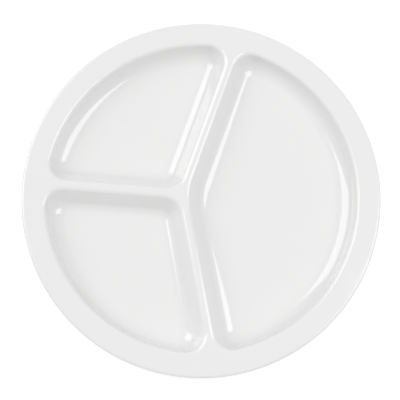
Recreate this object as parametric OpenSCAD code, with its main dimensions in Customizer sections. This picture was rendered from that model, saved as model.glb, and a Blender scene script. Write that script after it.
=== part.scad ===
// Divided compartment plate: one moulding with a flat rim, three wells and a Y of dividers.
// Sizes are in mm. The plate stands on z = 0, its axis is Z and the large well is towards +X.

/* [Plate] */
// outer diameter of the plate
plate_d = 260; // [230:1:300]
// depth of the wells below the rim
well_depth = 14.2; // [11:0.1:20]
// wall thickness of the moulding
wall_t = 2.6; // [2:0.1:3.4]

/* [Rim and edge] */
// width of the rim, from the outer edge to the mouths of the wells
rim_w = 14.8; // [11:0.1:22]
// radius of the round on top of the outer edge
edge_r = 2.2; // [1.5:0.1:3.5]
// height of the outer edge
edge_h = 5; // [4.5:0.1:8]
// radius of the round below the outer edge
edge_under_r = 0.9; // [0.3:0.1:1]
// width of the thicker band along the outer edge
edge_w = 4.2; // [3.8:0.1:6]

/* [Dividers] */
// distance from the middle of the plate to the point where the dividers meet
hub_offset = 13.6; // [6:0.1:20]
// angle between each long divider and the middle line of the large well
divider_angle = 74.7; // [66:0.1:82]
// width of the flat crest on each divider
crest_w = 1; // [0.6:0.1:2.5]

/* [Walls of the wells] */
// slope of the outer walls, from level
outer_slope = 80; // [62:1:84]
// slope of the divider walls, from level
divider_slope = 55; // [48:1:66]
// radius under the shoulder of the outer walls, on the hollow side
outer_groove_r = 0.2; // [0.1:0.1:1.5]
// radius under the crest of the dividers, on the hollow side
divider_groove_r = 1.6; // [0.8:0.1:2]
// radius between the outer walls and the floors
outer_floor_r = 11.5; // [7:0.1:13]
// radius between the dividers and the floor of the large well
large_floor_r = 11.5; // [8:0.1:13]
// radius between the dividers and the floors of the small wells
small_floor_r = 9; // [6:0.1:10]
// radius of the corners between the dividers and the outer walls, at the rim
corner_r = 15; // [12:0.5:18]
// radius of the hub corners of the small wells, at the rim
small_hub_r = 16; // [12:0.5:20]
// radius of the hub corner of the large well, at the rim
large_hub_r = 50; // [30:1:60]
// least radius of the corners at floor level
floor_corner_r = 2.5; // [1:0.1:4]

/* [Feet] */
// height of the foot ridges below the floors
foot_h = 1.2; // [0.6:0.1:3]
// width of the foot ridges
foot_w = 3; // [2:0.1:5]
// distance from the edge of each floor to its foot ridge
foot_inset = 1.5; // [0.5:0.1:3]

/* [Hidden] */
// straight stretch kept at both ends of each divider, next to its rounded corners
land = wall_t / 2;
// steps along the rounds, corners and outer walls
round_steps = 6;
corner_steps = 8;
arc_step = 4;
shell_color = [0.94, 0.94, 0.93];
$fn = 180;

plate_r = plate_d / 2;
mouth_r = plate_r - rim_w;
rim_z = foot_h + wall_t + well_depth;
hub_at = [-hub_offset, 0];

// each well lies between two dividers: their angles, the radius of its hub corner, the radius at their foot
large = [-divider_angle, divider_angle, large_hub_r, large_floor_r];
upper = [divider_angle, 180, small_hub_r, small_floor_r];
lower = [180, 360 - divider_angle, small_hub_r, small_floor_r];

function along(a) = [cos(a), sin(a)];
function across(a) = [-sin(a), cos(a)];
function mix(a, b, share) = a + (b - a) * share;
function turned_past(a, from) = from + ((a - from) % 360 + 360) % 360;
function flipped(list) = [for (i = [len(list) - 1:-1:0]) list[i]];

// slope, shoulder radius and foot radius of a well's outer wall and of its dividers, on one face of the wall:
// skin is wall_t on the upper face and 0 on the lower one; the slope gives way if the rounds fill the depth
function fall(r, slope) = r * (1 - cos(slope));
function wall_side(slope, groove_r, floor_r, skin) = let (rounds = groove_r + wall_t + floor_r)
    [fall(rounds, slope) < well_depth ? slope : acos(1 - well_depth / rounds), groove_r + skin,
        floor_r + wall_t - skin];
function sides(well, skin) = [wall_side(outer_slope, outer_groove_r, outer_floor_r, skin),
    wall_side(divider_slope, divider_groove_r, well[3], skin)];

// the section of a side: how far it has come in from the mouth of the well at a depth below its start
function run(side) = let (rounds = side[1] + side[2])
    rounds * sin(side[0]) + (well_depth - fall(rounds, side[0])) / tan(side[0]);
function come_in(depth, side) =
    depth <= fall(side[1], side[0]) ? side[1] * sin(acos(1 - depth / side[1])) :
    depth >= well_depth - fall(side[2], side[0]) ?
        run(side) - side[2] * sin(acos(min(1, 1 - (well_depth - depth) / side[2]))) :
    side[1] * sin(side[0]) + (depth - fall(side[1], side[0])) / tan(side[0]);

// one level of the section: inset at the outer wall, inset at the dividers, height, share of the way in
function level(depth, pair, z) = let (insets = [for (side = pair) come_in(depth, side)])
    [insets[0], insets[1], z - depth, (insets[0] / run(pair[0]) + insets[1] / run(pair[1])) / 2];

// levels down one face of the walls, close together on the rounds
bends = [for (i = [0:round_steps]) 1 - cos(90 * i / round_steps)];
function levels(pair, z) = let (
    shoulder = max([for (side = pair) fall(side[1], side[0])]),
    foot = max([for (side = pair) fall(side[2], side[0])]))
    [for (d = concat(shoulder * bends, [for (b = flipped(bends)) well_depth - foot * b])) level(d, pair, z)];
function section(well) = concat(levels(sides(well, wall_t), rim_z),
    flipped(levels(sides(well, 0), rim_z - wall_t)));
mouth_level = [0, 0, rim_z, 0];
function floor_level(well) = level(well_depth, sides(well, wall_t), rim_z);
function inset(from, by) = [from[0] + by, from[1] + by, from[2], from[3] + by / well_depth];

// the plan of a level: radius of its outer wall, offset from the dividers, radius of a corner
function ring_r(level) = mouth_r - level[0];
function ring_off(level) = crest_w / 2 + level[1];
function corner_at(level, r) = max(mix(r, max(floor_corner_r, r - well_depth), level[3]), floor_corner_r / 4);

// centre of the corner between a divider and an outer wall, to the left (1) or right (-1) of the divider
function corner_centre(a, side, level) = let (
    r = corner_at(level, corner_r),
    b = hub_at + (ring_off(level) + r) * side * across(a),
    k = b * along(a),
    reach = ring_r(level) - r)
    b + (sqrt(k * k - b * b + reach * reach) - k) * along(a);
function hub_reach(level, well) = (ring_off(level) + corner_at(level, well[2]))
    / tan((well[1] - well[0]) / 2);

// the straight stretch of each divider: from the hub's end face to the rim's end face
divider_start = land + norm([for (w = [large, upper])
    max([for (l = [mouth_level, floor_level(w)]) hub_reach(l, w)])]);
function divider_end(a) = min([for (l = [mouth_level, floor_level(large), floor_level(upper)])
    for (side = [-1, 1]) (corner_centre(a, side, l) - hub_at) * along(a)]) - land;
function on_divider(a, s, off) = hub_at + s * along(a) + off * across(a);

// plan of a level along a well's outer wall, from one rounded corner to the other
function outer_round(well, level) = let (
    from = well[0], to = well[1], r = corner_at(level, corner_r),
    c0 = corner_centre(from, 1, level), c1 = corner_centre(to, -1, level),
    a0 = turned_past(atan2(c0[1], c0[0]), from - 90), a1 = turned_past(atan2(c1[1], c1[0]), a0),
    steps = ceil((to - from) / arc_step))
    concat([for (i = [0:corner_steps]) c0 + r * along(mix(from - 90, a0, i / corner_steps))],
        [for (i = [1:steps - 1]) ring_r(level) * along(mix(a0, a1, i / steps))],
        [for (i = [0:corner_steps]) c1 + r * along(mix(a1, to + 90, i / corner_steps))]);

// plan of a level around a well's hub corner
function hub_round(well, level) = let (
    from = well[0], to = well[1], off = ring_off(level), r = corner_at(level, well[2]),
    c = hub_at + (off + r) / sin((to - from) / 2) * along((from + to) / 2))
    [for (i = [0:corner_steps]) c + r * along(mix(to + 90, from + 270, i / corner_steps))];

// the same plans with the straight ends that meet the dividers
function outer_path(well, level) = concat([on_divider(well[0], divider_end(well[0]), ring_off(level))],
    outer_round(well, level), [on_divider(well[1], divider_end(well[1]), -ring_off(level))]);
function hub_path(well, level) = concat([on_divider(well[1], divider_start, -ring_off(level))],
    hub_round(well, level), [on_divider(well[0], divider_start, ring_off(level))]);
function well_plan(well, level) = concat(outer_round(well, level), hub_round(well, level));
function raised(path, z) = [for (p = path) [p[0], p[1], z]];

// a closed shell through rings of points: down the top of the section and back along its underside
module shell(rings) {
    n = len(rings[0]);
    m = len(rings);
    polyhedron(points = [for (ring = rings) each ring], faces = concat(
        [for (k = [0:m - 1]) for (i = [0:n - 2]) each [
            [k * n + i, ((k + 1) % m) * n + i, ((k + 1) % m) * n + i + 1],
            [k * n + i, ((k + 1) % m) * n + i + 1, k * n + i + 1]]],
        [[for (k = [m - 1:-1:0]) k * n], [for (k = [0:m - 1]) k * n + n - 1]]));
}

module outer_wall(well) color(shell_color)
    shell([for (l = section(well)) raised(outer_path(well, l), l[2])]);

module well_floor(well) color(shell_color)
    translate([0, 0, foot_h]) linear_extrude(wall_t) polygon(well_plan(well, floor_level(well)));

module foot_ridge(well) color(shell_color) linear_extrude(foot_h) difference() {
    polygon(well_plan(well, inset(floor_level(well), foot_inset)));
    polygon(well_plan(well, inset(floor_level(well), foot_inset + foot_w)));
}

// a divider along an angle, with the wells on its left and right
module divider(a, left, right) color(shell_color)
    translate(on_divider(a, divider_start, 0)) rotate(a) rotate([90, 0, 90])
        linear_extrude(divider_end(a) - divider_start) polygon(concat(
            [for (l = section(left)) [ring_off(l), l[2]]],
            [for (l = flipped(section(right))) [-ring_off(l), l[2]]]));

module large_wall() outer_wall(large);
module upper_wall() outer_wall(upper);
module lower_wall() outer_wall(lower);
module large_floor() well_floor(large);
module upper_floor() well_floor(upper);
module lower_floor() well_floor(lower);
module large_foot() foot_ridge(large);
module upper_foot() foot_ridge(upper);
module lower_foot() foot_ridge(lower);
module divider_upper() divider(divider_angle, upper, large);
module divider_lower() divider(360 - divider_angle, large, lower);
module divider_short() divider(180, lower, upper);

// the flat rim, with its roots between the rounded corners of the wells
module rim() color(shell_color) translate([0, 0, rim_z - wall_t]) linear_extrude(wall_t) difference() {
    circle(plate_r - edge_w);
    polygon(concat(outer_path(large, mouth_level), outer_path(upper, mouth_level),
        outer_path(lower, mouth_level)));
}

// the rounded outer edge, thicker than the rim
module edge_lip() color(shell_color) rotate_extrude() translate([plate_r, rim_z]) {
    translate([-edge_w, -edge_h]) square([edge_w - edge_r, edge_h]);
    translate([-edge_r, -edge_h]) square([edge_r - edge_under_r, edge_h - edge_r]);
    translate([-edge_under_r, edge_under_r - edge_h])
        square([edge_under_r, edge_h - edge_r - edge_under_r]);
    translate([-edge_under_r, edge_under_r - edge_h]) circle(edge_under_r);
    intersection() {
        translate([-edge_r, -edge_r]) circle(edge_r);
        translate([-edge_r, -edge_r]) square(edge_r);
    }
}

// the junction of the three dividers
module hub() color(shell_color) {
    for (w = [large, upper, lower]) shell([for (l = section(w)) raised(hub_path(w, l), l[2])]);
    translate([0, 0, rim_z - wall_t]) linear_extrude(wall_t) polygon(concat(
        flipped(hub_path(large, mouth_level)), flipped(hub_path(upper, mouth_level)),
        flipped(hub_path(lower, mouth_level))));
}

rim();
edge_lip();
large_wall();
upper_wall();
lower_wall();
large_floor();
upper_floor();
lower_floor();
divider_upper();
divider_lower();
divider_short();
hub();
large_foot();
upper_foot();
lower_foot();
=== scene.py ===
"""Divided compartment plate: the moulding's skin, its glossy white finish, the studio and the camera.

Everything is in metres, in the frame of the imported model: the plate stands on z = 0, and the large well is
towards +X. Each zone of the moulding is one closed piece. The pieces share their edges and normals, so the
plate shades as the single moulding that it is.
"""
import math
from typing import NamedTuple

import bpy
import numpy as np
from mathutils import Matrix, Vector
from mathutils.geometry import delaunay_2d_cdt


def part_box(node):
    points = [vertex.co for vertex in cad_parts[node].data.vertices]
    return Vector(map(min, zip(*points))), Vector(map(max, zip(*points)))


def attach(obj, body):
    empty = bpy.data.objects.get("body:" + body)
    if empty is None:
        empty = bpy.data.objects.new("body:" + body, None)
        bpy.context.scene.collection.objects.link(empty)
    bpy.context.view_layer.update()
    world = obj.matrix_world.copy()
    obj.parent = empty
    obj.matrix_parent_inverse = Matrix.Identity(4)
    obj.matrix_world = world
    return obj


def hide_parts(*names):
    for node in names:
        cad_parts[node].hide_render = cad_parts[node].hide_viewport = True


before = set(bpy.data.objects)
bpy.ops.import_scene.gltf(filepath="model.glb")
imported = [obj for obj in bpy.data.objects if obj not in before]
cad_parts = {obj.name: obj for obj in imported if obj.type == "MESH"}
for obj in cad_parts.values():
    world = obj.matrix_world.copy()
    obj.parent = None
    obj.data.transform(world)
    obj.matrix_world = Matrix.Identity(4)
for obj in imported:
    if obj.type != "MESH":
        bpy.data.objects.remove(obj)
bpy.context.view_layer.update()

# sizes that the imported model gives
PLATE_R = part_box("edge_lip")[1].x
RIM_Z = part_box("rim")[1].z
WALL_T = RIM_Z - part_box("rim")[0].z
FLOOR_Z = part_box("large_floor")[1].z
FOOT_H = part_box("large_foot")[1].z
WELL_DEPTH = RIM_Z - FLOOR_Z
EDGE_H = RIM_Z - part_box("edge_lip")[0].z

# sizes repeated from the source
RIM_W = 0.0148
EDGE_R = 0.0022
EDGE_UNDER_R = 0.0009
EDGE_W = 0.0042
HUB_OFFSET = 0.0136
DIVIDER_ANGLE = math.radians(74.7)
CREST_W = 0.0010
OUTER_SLOPE = math.radians(80)
DIVIDER_SLOPE = math.radians(55)
OUTER_GROOVE_R = 0.0002
DIVIDER_GROOVE_R = 0.0016
OUTER_FLOOR_R = 0.0115
LARGE_FLOOR_R = 0.0115
SMALL_FLOOR_R = 0.009
CORNER_R = 0.015
SMALL_HUB_R = 0.016
LARGE_HUB_R = 0.050
FLOOR_CORNER_R = 0.0025
FOOT_W = 0.003
FOOT_INSET = 0.0015

# the tightest that a corner gets, as a share of the radius at the floor's corners
LEAST_CORNER_SHARE = 0.25

# round along the lower edges of the foot ridges, as a share of their height
FOOT_SOFT_SHARE = 0.45

# how finely the skin follows the rounds, the feet, the corners, the outer walls and the edge
ROUND_STEPS = 20
FOOT_STEPS = 6
CORNER_STEPS = 24
ARC_STEP = math.radians(1.0)
EDGE_STEPS = 360

MOUTH_R = PLATE_R - RIM_W
LAND = WALL_T / 2
HUB = np.array([-HUB_OFFSET, 0.0])
UP = np.array([0.0, 0.0, 1.0])


class Well(NamedTuple):
    """A well between two dividers: their angles, the radius of its hub corner and of its dividers' foot."""
    start: float
    end: float
    hub_r: float
    foot_r: float


class Level(NamedTuple):
    """A level of a well's walls: inset at the outer wall and at the dividers, height, share of the way in."""
    outer_in: float
    divider_in: float
    z: float
    share: float


LARGE = Well(-DIVIDER_ANGLE, DIVIDER_ANGLE, LARGE_HUB_R, LARGE_FLOOR_R)
UPPER = Well(DIVIDER_ANGLE, math.pi, SMALL_HUB_R, SMALL_FLOOR_R)
LOWER = Well(math.pi, 2 * math.pi - DIVIDER_ANGLE, SMALL_HUB_R, SMALL_FLOOR_R)
WELLS = {"large": LARGE, "upper": UPPER, "lower": LOWER}

# each divider: its name, its angle, and the wells on its left and right, looking from the hub
DIVIDERS = (("divider_upper", DIVIDER_ANGLE, "upper", "large"),
            ("divider_short", math.pi, "lower", "upper"),
            ("divider_lower", -DIVIDER_ANGLE, "large", "lower"))


def along(angle):
    """The way that an angle points in the plan, for one angle or for many."""
    return np.stack([np.cos(angle), np.sin(angle)], -1)


def across(angle):
    """The way to the left of an angle in the plan."""
    return np.stack([-np.sin(angle), np.cos(angle)], -1)


# the section of the walls

def fall(r, slope):
    """How far a round comes down as it turns from level to a slope."""
    return r * (1 - math.cos(slope))


def run(slope, rounds):
    """How far a wall comes in between rim and floor; rounds is its shoulder and foot radius together."""
    return rounds * math.sin(slope) + (WELL_DEPTH - fall(rounds, slope)) / math.tan(slope)


def come_in(depth, slope, top_r, low_r):
    """How far a wall has come in from the mouth of its well at a depth below its start."""
    if depth <= fall(top_r, slope):
        return top_r * math.sin(math.acos(max(-1.0, 1 - depth / top_r)))
    if depth >= WELL_DEPTH - fall(low_r, slope):
        lean = math.acos(min(1.0, 1 - (WELL_DEPTH - depth) / low_r))
        return run(slope, top_r + low_r) - low_r * math.sin(lean)
    return top_r * math.sin(slope) + (depth - fall(top_r, slope)) / math.tan(slope)


def sides(well, above):
    """Slope, shoulder and foot radius of the outer wall and of the dividers, on the upper or lower face."""
    skin = WALL_T if above else 0
    walls = (OUTER_SLOPE, OUTER_GROOVE_R, OUTER_FLOOR_R), (DIVIDER_SLOPE, DIVIDER_GROOVE_R, well.foot_r)
    return [(slope, groove_r + skin, floor_r + WALL_T - skin) for slope, groove_r, floor_r in walls]


def wall_level(well, depth, above=True):
    """The level of a well's walls at a depth, on their upper or lower face."""
    insets = [come_in(depth, *side) for side in sides(well, above)]
    runs = [run(slope, top_r + low_r) for slope, top_r, low_r in sides(well, above)]
    return Level(*insets, RIM_Z - (0 if above else WALL_T) - depth, np.mean(np.divide(insets, runs)))


def wall_levels(well, above):
    """Levels down the upper or lower face of the walls, close together on the rounds."""
    bends = 1 - np.cos(np.linspace(0, math.pi / 2, ROUND_STEPS + 1))
    shoulder = max(fall(top_r, slope) for slope, top_r, low_r in sides(well, above))
    foot = max(fall(low_r, slope) for slope, top_r, low_r in sides(well, above))
    depths = np.concatenate([shoulder * bends, WELL_DEPTH - foot * bends[::-1]])
    return [wall_level(well, depth, above) for depth in depths]


def floor_level(well):
    return wall_level(well, WELL_DEPTH)


MOUTH_LEVEL = Level(0.0, 0.0, RIM_Z, 0.0)


# the plan of a level

def ring_off(level):
    """How far a level lies off the middle line of a divider."""
    return CREST_W / 2 + level.divider_in


def corner_at(level, r):
    """Radius at a level of a corner that has the radius r at the mouth."""
    floor_r = max(FLOOR_CORNER_R, r - WELL_DEPTH)
    return max(r + (floor_r - r) * level.share, FLOOR_CORNER_R * LEAST_CORNER_SHARE)


def corner_centre(angle, side, level):
    """Centre of the corner between a divider and an outer wall, left (1) or right (-1) of the divider."""
    r = corner_at(level, CORNER_R)
    base = HUB + (ring_off(level) + r) * side * across(angle)
    k = base @ along(angle)
    reach = MOUTH_R - level.outer_in - r
    return base + (math.sqrt(k * k - base @ base + reach * reach) - k) * along(angle)


def hub_reach(level, well):
    """How far along a divider a well's hub corner reaches."""
    return (ring_off(level) + corner_at(level, well.hub_r)) / math.tan((well.end - well.start) / 2)


def on_divider(angle, s, off):
    """The point of the plan at s along a divider from the hub, and off to its left."""
    return HUB + s * along(angle) + off * across(angle)


# the dividers run straight from past the hub corners to short of the corners at the outer walls
DIVIDER_START = LAND + math.hypot(*(max(hub_reach(level, well) for level in (MOUTH_LEVEL, floor_level(well)))
                                    for well in (LARGE, UPPER)))


def divider_end(angle):
    levels = MOUTH_LEVEL, floor_level(LARGE), floor_level(UPPER)
    centres = [corner_centre(angle, side, level) for side in (-1, 1) for level in levels]
    return min((centre - HUB) @ along(angle) for centre in centres) - LAND


def outer_round(well, level):
    """Plan of a level along a well's outer wall, from one rounded corner to the other."""
    start, end, r = well.start, well.end, corner_at(level, CORNER_R)
    c0, c1 = corner_centre(start, 1, level), corner_centre(end, -1, level)
    turn = 2 * math.pi
    a0 = start - math.pi / 2 + (math.atan2(c0[1], c0[0]) - start + math.pi / 2) % turn
    a1 = a0 + (math.atan2(c1[1], c1[0]) - a0) % turn
    steps = math.ceil((end - start) / ARC_STEP)
    return np.concatenate([
        c0 + r * along(np.linspace(start - math.pi / 2, a0, CORNER_STEPS + 1)),
        (MOUTH_R - level.outer_in) * along(np.linspace(a0, a1, steps + 1)[1:-1]),
        c1 + r * along(np.linspace(a1, end + math.pi / 2, CORNER_STEPS + 1))])


def hub_round(well, level):
    """Plan of a level around a well's hub corner."""
    start, end, r = well.start, well.end, corner_at(level, well.hub_r)
    centre = HUB + (ring_off(level) + r) / math.sin((end - start) / 2) * along((start + end) / 2)
    return centre + r * along(np.linspace(end + math.pi / 2, start + 1.5 * math.pi, CORNER_STEPS + 1))


def well_plan(well, level):
    """The closed plan of a level around a whole well."""
    return np.concatenate([outer_round(well, level), hub_round(well, level)])


def outer_path(well, level):
    """Plan of a level along a well's outer wall, out to the ends of its dividers."""
    off = ring_off(level)
    return np.concatenate([[on_divider(well.start, divider_end(well.start), off)], outer_round(well, level),
                           [on_divider(well.end, divider_end(well.end), -off)]])


def hub_path(well, level):
    """Plan of a level around a well's hub corner, out to the starts of its dividers."""
    off = ring_off(level)
    return np.concatenate([[on_divider(well.end, DIVIDER_START, -off)], hub_round(well, level),
                           [on_divider(well.start, DIVIDER_START, off)]])


def raised(path, z):
    return np.column_stack([path, np.full(len(path), z)])


# the skins: sheets of points with their own normals, closed into one mesh for each piece

# points of a skin nearer than this become one, and so do points of the rim's plan nearer than MERGE
WELD = 1e-7
MERGE = 1e-9
# twice the area of the smallest face that is kept
SLIVER = 1e-14
# keeps the length of a vector above zero
TINY = 1e-12


def placed(name, data):
    """A new object in the scene."""
    thing = bpy.data.objects.new(name, data)
    bpy.context.scene.collection.objects.link(thing)
    return thing


class Skin:
    def __init__(self):
        self.faces = []

    def sheet(self, grid, normals, wrap=False):
        """Adds the quads of a grid of points, rows by columns, with a normal for each point."""
        rows, columns = grid.shape[:2]
        for k in range(rows - 1):
            for i in range(columns if wrap else columns - 1):
                j = (i + 1) % columns
                corners = [(k, i), (k, j), (k + 1, j), (k + 1, i)]
                self.face([grid[c] for c in corners], [normals[c] for c in corners])

    def flat(self, points, normal):
        """Adds one flat face."""
        self.face(points, [np.asarray(normal, float)] * len(points))

    def face(self, points, normals):
        """Adds one face, wound to suit its normals, unless it is a sliver."""
        points = [np.asarray(p, float) for p in points]
        area = sum(np.cross(a - points[0], b - points[0]) for a, b in zip(points[1:], points[2:]))
        if np.linalg.norm(area) < SLIVER:
            return
        if area @ np.sum(normals, 0) < 0:
            points, normals = points[::-1], normals[::-1]
        self.faces.append((points, normals))

    def build(self, name, node, material):
        """Makes the closed mesh, with its normals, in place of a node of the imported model."""
        places, index, faces, normals = [], {}, [], []
        for points, ns in self.faces:
            corners = []
            for p, n in zip(points, ns):
                key = tuple(np.round(p / WELD).astype(int))
                if key not in index:
                    index[key] = len(places)
                    places.append(p)
                if not corners or (corners[-1][0] != index[key] and corners[0][0] != index[key]):
                    corners.append((index[key], n))
            if len(corners) > 2:
                faces.append([c[0] for c in corners])
                normals += [tuple(c[1]) for c in corners]
        mesh = bpy.data.meshes.new(name)
        mesh.from_pydata([tuple(p) for p in places], [], faces)
        mesh.polygons.foreach_set("use_smooth", [True] * len(mesh.polygons))
        mesh.normals_split_custom_set(normals)
        mesh.materials.append(material)
        piece = placed(name, mesh)
        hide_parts(node)
        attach(piece, "root")


def wall_normals(grid, up):
    """Normals of a wall's sheet from its own slope, plumb along its first and last rows."""
    down = np.gradient(grid, axis=0)
    sideways = np.gradient(grid, axis=1)
    n = np.cross(sideways, down)
    n /= np.linalg.norm(n, axis=2, keepdims=True)
    n *= np.sign(n[:, :, 2:3]) * up
    n[0], n[-1] = UP * up, UP * up
    return n


def moulded_wall(skin, path, well):
    """Adds the upper face and the underside of a wall that follows a path, and gives their points."""
    top = np.array([raised(path(well, level), level.z) for level in wall_levels(well, True)])
    under = np.array([raised(path(well, level), level.z) for level in wall_levels(well, False)])
    skin.sheet(top, wall_normals(top, 1))
    skin.sheet(under, wall_normals(under, -1))
    return top, under


def strip(skin, upper, lower, outward):
    """Adds a plumb strip between two edges; outward (1 or -1) gives the side that its faces look to."""
    for a, b, c, d in zip(upper[:-1], upper[1:], lower[1:], lower[:-1]):
        side = np.cross(b - a, UP) * outward
        skin.flat([a, b, c, d], side / max(np.linalg.norm(side), TINY))


def outer_wall(name, well, material):
    """A well's outer wall with its two rounded corners, up to the ends of the dividers."""
    skin = Skin()
    top, under = moulded_wall(skin, outer_path, well)
    strip(skin, top[0], under[0], 1)
    strip(skin, top[-1], under[-1], -1)
    for column, angle in ((0, well.start), (-1, well.end)):
        ends = np.concatenate([top[:, column], under[::-1, column]])
        skin.flat(ends, -np.append(along(angle), 0))
    skin.build(name + "_well_wall", name + "_wall", material)


def well_floor(name, well, material):
    skin = Skin()
    plan = well_plan(well, floor_level(well))
    top, under = raised(plan, FLOOR_Z), raised(plan, FLOOR_Z - WALL_T)
    skin.flat(top, UP)
    skin.flat(under, -UP)
    strip(skin, np.vstack([top, top[:1]]), np.vstack([under, under[:1]]), 1)
    skin.build(name + "_well_floor", name + "_floor", material)


def divider(name, angle, left, right, material):
    """A divider along an angle, with the wells on its left and right."""
    skin = Skin()
    turn = np.array([*across(angle), 0.0])
    ends = [DIVIDER_START, divider_end(angle)]

    def side_sheet(levels, side, up):
        grid = np.array([[np.append(on_divider(angle, s, side * ring_off(level)), level.z) for s in ends]
                         for level in levels])
        skin.sheet(grid, wall_normals(grid, up))
        return grid

    grids = {(side, up): side_sheet(wall_levels(well, up > 0), side, up)
             for side, well in ((1, left), (-1, right)) for up in (1, -1)}
    for up in (1, -1):
        one, other = grids[1, up][0], grids[-1, up][0]
        skin.flat([other[0], other[1], one[1], one[0]], UP * up)
    for side in (1, -1):
        top, under = grids[side, 1][-1], grids[side, -1][-1]
        skin.flat([top[0], top[1], under[1], under[0]], turn * side)
    for column, way in ((0, -1), (1, 1)):
        ring = np.concatenate([grids[1, 1][::-1, column], grids[-1, 1][:, column],
                               grids[-1, -1][::-1, column], grids[1, -1][:, column]])
        skin.flat(ring, way * np.append(along(angle), 0))
    skin.build(name + "_ridge", name, material)


def hub(material):
    """The junction of the three dividers: a hub corner of each well, up to where the dividers start."""
    skin = Skin()
    crest, groove, ends = [], [], {}
    for key, well in WELLS.items():
        top, under = moulded_wall(skin, hub_path, well)
        strip(skin, top[-1], under[-1], -1)
        crest += list(top[0][::-1])
        groove += list(under[0][::-1])
        ends[key] = (top, under)
    skin.flat(crest, UP)
    skin.flat(groove, -UP)
    for _, angle, left, right in DIVIDERS:
        left_top, left_under = (grid[:, -1] for grid in ends[left])
        right_top, right_under = (grid[:, 0] for grid in ends[right])
        ring = np.concatenate([left_top[::-1], right_top, right_under[::-1], left_under])
        skin.flat(ring, np.append(along(angle), 0))
    skin.build("divider_hub", "hub", material)


def in_loop(point, loop):
    """Whether a point of the plan lies inside a closed loop."""
    rel = loop - point
    bearing = np.unwrap(np.arctan2(rel[:, 1], rel[:, 0]), period=2 * math.pi)
    last = math.atan2(rel[0, 1], rel[0, 0]) - bearing[-1]
    return abs(bearing[-1] - bearing[0] + (last + math.pi) % (2 * math.pi) - math.pi) > math.pi


def turned(r, z):
    """A ring of points, or of normals, around the plate's axis."""
    bearings = np.linspace(0, 2 * math.pi, EDGE_STEPS, endpoint=False)
    return np.column_stack([r * along(bearings), np.full(EDGE_STEPS, z)])


def revolve(skin, rows):
    """Adds the sheet that rows of a section, each a point and its normal, sweep around the plate's axis."""
    skin.sheet(np.array([turned(*p) for p, n in rows]), np.array([turned(*n) for p, n in rows]), wrap=True)


def arc(r, z, radius, start, end, steps):
    """Points and normals along an arc of the edge's section, with angles from straight up."""
    normals = [(math.sin(a), math.cos(a)) for a in np.linspace(start, end, steps + 1)]
    return [((r + radius * n[0], z + radius * n[1]), n) for n in normals]


def rim(material):
    """The flat rim, from the mouths of the wells to the edge."""
    skin = Skin()
    mouth = np.concatenate([outer_path(well, MOUTH_LEVEL) for well in WELLS.values()])
    outer = turned(PLATE_R - EDGE_W, 0)[:, :2]
    edges = [(first + i, first + (i + 1) % len(loop)) for first, loop in ((0, outer), (len(outer), mouth))
             for i in range(len(loop))]
    plan = np.concatenate([outer, mouth])
    _, _, faces, origins, *_ = delaunay_2d_cdt([Vector(p) for p in plan], edges, [], 0, MERGE)
    for face in faces:
        corners = plan[[origins[i][0] for i in face]]
        if not in_loop(corners.mean(0), mouth):
            skin.flat(raised(corners, RIM_Z), UP)
            skin.flat(raised(corners, RIM_Z - WALL_T), -UP)
    for loop, outward in ((outer, 1), (mouth, -1)):
        ring = np.vstack([loop, loop[:1]])
        strip(skin, raised(ring, RIM_Z), raised(ring, RIM_Z - WALL_T), outward)
    skin.build("plate_rim", "rim", material)


def plate_edge(material):
    """The rounded outer edge, which reaches lower than the rim."""
    skin = Skin()
    inner, below = PLATE_R - EDGE_W, RIM_Z - EDGE_H
    rows = [((inner, RIM_Z), (0, 1))]
    rows += arc(PLATE_R - EDGE_R, RIM_Z - EDGE_R, EDGE_R, 0, math.pi / 2, 2 * ROUND_STEPS)
    rows += arc(PLATE_R - EDGE_UNDER_R, below + EDGE_UNDER_R, EDGE_UNDER_R, math.pi / 2, math.pi, ROUND_STEPS)
    rows += [((inner, below), (0, -1))]
    revolve(skin, rows)
    revolve(skin, [((inner, below), (-1, 0)), ((inner, RIM_Z), (-1, 0))])
    skin.build("plate_edge", "edge_lip", material)


def foot_ridge(name, well, material):
    """A low ridge below a floor, with rounded lower edges."""
    skin = Skin()
    soft = FOOT_H * FOOT_SOFT_SHARE
    # the section: inset, height, and the normal across and up
    rows = [(0.0, FOOT_H, -1, 0)]
    for a in np.linspace(0, math.pi / 2, FOOT_STEPS + 1):
        rows.append((soft * (1 - math.cos(a)), soft * (1 - math.sin(a)), -math.cos(a), -math.sin(a)))
    rows += [(FOOT_W - x, z, -side, up) for x, z, side, up in reversed(rows)]

    def plan(inset):
        by = FOOT_INSET + inset
        return well_plan(well, Level(*np.add(floor_level(well), (by, by, 0, by / WELL_DEPTH))))

    grid = np.array([raised(plan(inset), z) for inset, z, _, _ in rows])
    inward = np.gradient(grid[0], axis=0)[:, :2] @ np.array([[0, 1], [-1, 0]])
    inward /= np.maximum(np.linalg.norm(inward, axis=1, keepdims=True), TINY)
    normals = np.array([raised(inward * side, up) for _, _, side, up in rows])
    skin.sheet(grid, normals, wrap=True)
    seat = np.array([grid[0], grid[-1]])
    skin.sheet(seat, np.broadcast_to(UP, seat.shape), wrap=True)
    skin.build(name + "_well_foot", name + "_foot", material)


# the finish

CLOUD_DARK = (0.905, 0.905, 0.900, 1)
CLOUD_LIGHT = (0.925, 0.925, 0.922, 1)
SCUFF_GREY = (0.70, 0.69, 0.67, 1)
# height up to which the feet are scuffed
SCUFF_Z = 0.0004

# noises: waves to the metre, layers of finer detail, and how strong the finer layers are
CLOUD_NOISE = (38, 4, 0.55)
GRAIN_NOISE = (900, 2, 0.5)
PEEL_NOISE = (260, 1, 0.5)
SCRATCH_NOISE = (1500, 3, 0.7)

# roughness of the moulding below its gloss, and what the cloudiness, the grain and the scuffs add to it
BASE_ROUGH = 0.07
CLOUD_ROUGH = 0.05
GRAIN_ROUGH = 0.02
SCUFF_ROUGH = 0.6
MELAMINE_IOR = 1.55

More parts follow.
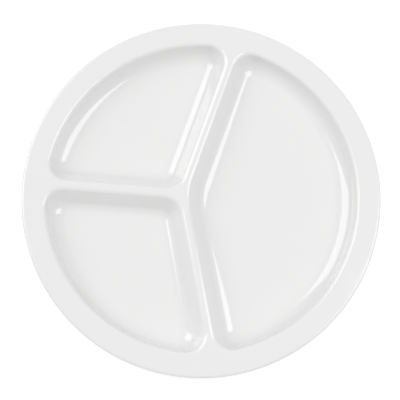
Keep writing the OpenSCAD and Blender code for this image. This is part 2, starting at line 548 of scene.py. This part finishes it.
# the gloss
GLOSS_ROUGH = 0.03
GLOSS_IOR = 1.5

# the peel in the surface, and how much deeper than it the scuffs are
PEEL_STRENGTH = 0.05
PEEL_HEIGHT = 0.0002
SCUFF_DEPTH = 2


class Value:
    """A socket that takes part in sums: each operation adds a Math node."""

    def __init__(self, nodes, socket):
        self.nodes, self.socket = nodes, socket

    def _math(self, operation, *terms):
        return self.nodes.add("ShaderNodeMath", {"operation": operation}, dict(enumerate(terms)))[0]

    def __add__(self, other):
        return self._math("ADD", self, other)

    def __radd__(self, other):
        return self._math("ADD", other, self)

    def __rsub__(self, other):
        return self._math("SUBTRACT", other, self)

    def __mul__(self, other):
        return self._math("MULTIPLY", self, other)

    def __rmul__(self, other):
        return self._math("MULTIPLY", other, self)


class Nodes:
    """The nodes of one material, or of the world."""

    def __init__(self, owner):
        owner.use_nodes = True
        self.tree = owner.node_tree
        self.tree.nodes.clear()

    def add(self, kind, settings=None, sockets=None):
        """Adds a node: its settings, then the values or links of its sockets. Gives its outputs."""
        node = self.tree.nodes.new(kind)
        for key, value in (settings or {}).items():
            setattr(node, key, value)
        for key, value in (sockets or {}).items():
            if isinstance(value, Value):
                self.tree.links.new(value.socket, node.inputs[key])
            else:
                node.inputs[key].default_value = value
        return {key: Value(self, socket) for i, socket in enumerate(node.outputs) for key in (i, socket.name)}


def melamine():
    """White moulded gloss: a faint cloudiness, a fine peel, and a dull, scuffed track along the feet."""
    material = bpy.data.materials.new("white_melamine")
    m = Nodes(material)
    place = m.add("ShaderNodeTexCoord")["Object"]
    height = m.add("ShaderNodeSeparateXYZ", sockets={"Vector": place})["Z"]

    def noise(scale, detail, rough):
        return m.add("ShaderNodeTexNoise", sockets={
            "Vector": place, "Scale": scale, "Detail": detail, "Roughness": rough})[0]

    def blend(factor, one, other):
        """Mixes two colours: a Mix node has its colours at inputs 6 and 7 and at output 2."""
        return m.add("ShaderNodeMix", {"data_type": "RGBA"}, {"Factor": factor, 6: one, 7: other})[2]

    noises = CLOUD_NOISE, GRAIN_NOISE, PEEL_NOISE, SCRATCH_NOISE
    cloud, grain, peel, scratches = (noise(*values) for values in noises)
    low = m.add("ShaderNodeMapRange", {"interpolation_type": "SMOOTHSTEP"},
                {"Value": height, "From Min": SCUFF_Z, "From Max": 0.0})[0]
    scuff = low * scratches
    colour = blend(scuff, blend(cloud, CLOUD_DARK, CLOUD_LIGHT), SCUFF_GREY)
    rough = BASE_ROUGH + CLOUD_ROUGH * cloud + GRAIN_ROUGH * grain + SCUFF_ROUGH * scuff
    bump = m.add("ShaderNodeBump", sockets={
        "Strength": PEEL_STRENGTH, "Distance": PEEL_HEIGHT, "Height": peel + SCUFF_DEPTH * scuff})[0]
    shine = m.add("ShaderNodeBsdfPrincipled", sockets={
        "Base Color": colour, "Roughness": rough, "IOR": MELAMINE_IOR, "Normal": bump,
        "Coat Weight": 1 - low, "Coat Roughness": GLOSS_ROUGH, "Coat IOR": GLOSS_IOR})[0]
    m.add("ShaderNodeOutputMaterial", sockets={"Surface": shine})
    return material


# the studio

# half the floor's side, in plate radii
FLOOR_SPREAD = 300
FLOOR_WHITE = (0.75, 0.75, 0.75, 1)
FLOOR_GLOW = 0.54
AIR_LIGHT = 0.555
PURE_WHITE = (1, 1, 1, 1)


def seen_straight(m):
    """1 for what is seen directly, in a mirror or through glass, and 0 for light that falls on things."""
    path = m.add("ShaderNodeLightPath")
    return path["Is Camera Ray"] + path["Is Glossy Ray"] + path["Is Transmission Ray"]


def studio_floor():
    """A white sweep that still takes the plate's shadow."""
    size = PLATE_R * FLOOR_SPREAD
    mesh = bpy.data.meshes.new("studio_floor")
    mesh.from_pydata([(-size, -size, 0), (size, -size, 0), (size, size, 0), (-size, size, 0)], [],
                     [(0, 1, 2, 3)])
    material = bpy.data.materials.new("pale_floor")
    m = Nodes(material)
    lit = m.add("ShaderNodeBsdfDiffuse", sockets={"Color": FLOOR_WHITE})[0]
    glow = m.add("ShaderNodeEmission", sockets={"Color": PURE_WHITE, "Strength": FLOOR_GLOW})[0]
    both = m.add("ShaderNodeAddShader", sockets={0: lit, 1: glow})[0]
    mixed = m.add("ShaderNodeMixShader", sockets={0: seen_straight(m), 1: lit, 2: both})[0]
    m.add("ShaderNodeOutputMaterial", sockets={"Surface": mixed})
    mesh.materials.append(material)
    placed("studio_floor", mesh)


def softbox(name, bearing, zenith, distance, wide, tall, twist, glow):
    """A rectangular lamp that looks at the plate's middle, at a bearing and an angle from straight above.

    Angles are in degrees, twist turns the lamp about its own axis, and glow is the brightness of its face.
    """
    lamp = bpy.data.lights.new(name, "AREA")
    lamp.shape, lamp.size, lamp.size_y = "RECTANGLE", wide, tall
    lamp.energy = glow * math.pi * wide * tall
    bearing, zenith = math.radians(bearing), math.radians(zenith)
    out = Vector((*(math.sin(zenith) * along(bearing)), math.cos(zenith)))
    side = Vector((*across(bearing), 0))
    facing = Matrix((side, out.cross(side), out)).transposed()
    pose = (facing @ Matrix.Rotation(math.radians(twist), 3, "Z")).to_4x4()
    pose.translation = out * distance
    placed(name, lamp).matrix_world = pose


def studio():
    """Two softboxes and an even white air, which is brighter to look at than the light it gives."""
    softbox("left_softbox", bearing=158.9, zenith=48.0, distance=2.30,
            wide=1.45, tall=2.20, twist=3.8, glow=1.70)
    softbox("right_softbox", bearing=-5.0, zenith=36.25, distance=1.58,
            wide=0.82, tall=1.09, twist=26.7, glow=2.05)
    world = bpy.data.worlds.new("studio_air")
    m = Nodes(world)
    air = m.add("ShaderNodeBackground", sockets={
        "Color": PURE_WHITE, "Strength": AIR_LIGHT + (1 - AIR_LIGHT) * seen_straight(m)})[0]
    m.add("ShaderNodeOutputWorld", sockets={"Surface": air})
    bpy.context.scene.world = world


# the photograph's view: from above, a little towards the front, and turned slightly in the picture
VIEW_TILT = math.radians(9.41)
VIEW_ROLL = math.radians(1.51)
VIEW_TURN = math.radians(2.86)
VIEW_AIM = Vector((-0.00071, -0.00361, RIM_Z - 0.0011))
VIEW_DISTANCE = 0.646
VIEW_LENS = 80.54
VIEW_NEAR = 0.013
VIEW_FAR = PLATE_R * FLOOR_SPREAD


def camera():
    turn = Matrix.Rotation(VIEW_TURN, 3, "Z")
    tilted = turn @ Matrix.Rotation(VIEW_TILT, 3, "X")
    pose = (tilted @ Matrix.Rotation(VIEW_ROLL, 3, "Z")).to_4x4()
    pose.translation = turn @ VIEW_AIM + tilted @ Vector((0, 0, VIEW_DISTANCE))
    eye = placed("photo_camera", bpy.data.cameras.new("photo_camera"))
    eye.data.lens = VIEW_LENS
    eye.data.clip_start, eye.data.clip_end = VIEW_NEAR, VIEW_FAR
    eye.matrix_world = pose
    bpy.context.scene.camera = eye


# light that runs along a glossy, hollow wall takes many turns before it gets out
BOUNCES = 24
GLOSSY_BOUNCES = 16

finish = melamine()
for name, well in WELLS.items():
    outer_wall(name, well, finish)
    well_floor(name, well, finish)
    foot_ridge(name, well, finish)
for name, angle, left, right in DIVIDERS:
    divider(name, angle, WELLS[left], WELLS[right], finish)
hub(finish)
rim(finish)
plate_edge(finish)
studio_floor()
studio()
camera()
bpy.context.scene.view_settings.view_transform = "Standard"
bpy.context.scene.cycles.max_bounces = BOUNCES
bpy.context.scene.cycles.glossy_bounces = GLOSSY_BOUNCES
